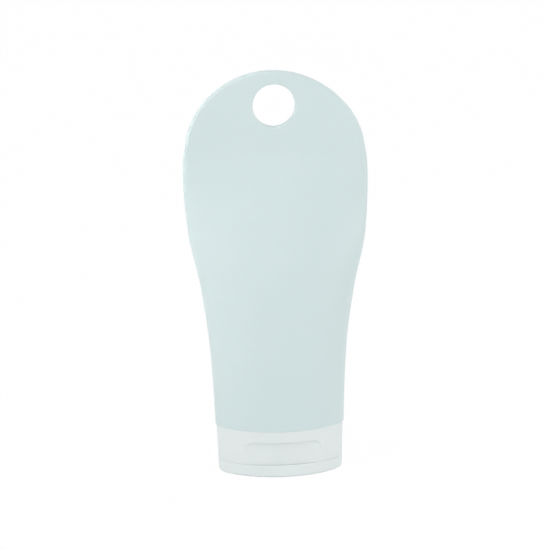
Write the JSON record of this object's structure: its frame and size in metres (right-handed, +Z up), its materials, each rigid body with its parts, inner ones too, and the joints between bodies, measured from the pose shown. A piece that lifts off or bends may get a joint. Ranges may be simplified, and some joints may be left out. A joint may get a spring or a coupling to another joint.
{
  "type": "silicone travel bottle",
  "caption": "Squeezable flattened silicone travel bottle with a hanging hole in its flat tab, standing on a translucent screw cap with a flip lid.",
  "frame": {"origin": "middle of the foot, on the surface that the bottle stands on", "axes": "+Z up from the cap to the hanging tab, -Y towards the front with the thumb recess, X across the width"},
  "size_m": [0.0588, 0.0288, 0.129],
  "materials": {
    "silicone_body": "pale mint silicone, matte, slightly translucent",
    "frosted_plastic": "frosted translucent polypropylene",
    "collar_plastic": "natural white polypropylene",
    "valve_silicone": "clear soft silicone"
  },
  "bodies": {
    "bottle": {"bottle_body": "silicone_body", "threaded_collar": "collar_plastic"},
    "valve": {"slit_valve": "valve_silicone"},
    "cap": {"cap_base": "frosted_plastic", "living_hinge": "frosted_plastic"},
    "lid": {"flip_lid": "frosted_plastic"}
  },
  "joints": [
    {"name": "cap_drop", "type": "slide", "parent": "bottle", "child": "valve", "axis": [0, 0, -1], "range_m": [0, 0.0045]},
    {"name": "cap_turn", "type": "hinge", "parent": "valve", "child": "cap", "pos_m": [0, 0, 0.0056], "axis": [0, 0, -1], "range_deg": [0, 540]},
    {"name": "lid_flip", "type": "hinge", "parent": "cap", "child": "lid", "pos_m": [0, 0.0129, 0.00402], "axis": [1, 0, 0], "range_deg": [0, 150], "deforming": ["living_hinge"]}
  ],
  "couplings": [
    {"joint": "cap_drop", "follows": "cap_turn", "m_per_rad": 0.00047746}
  ]
}
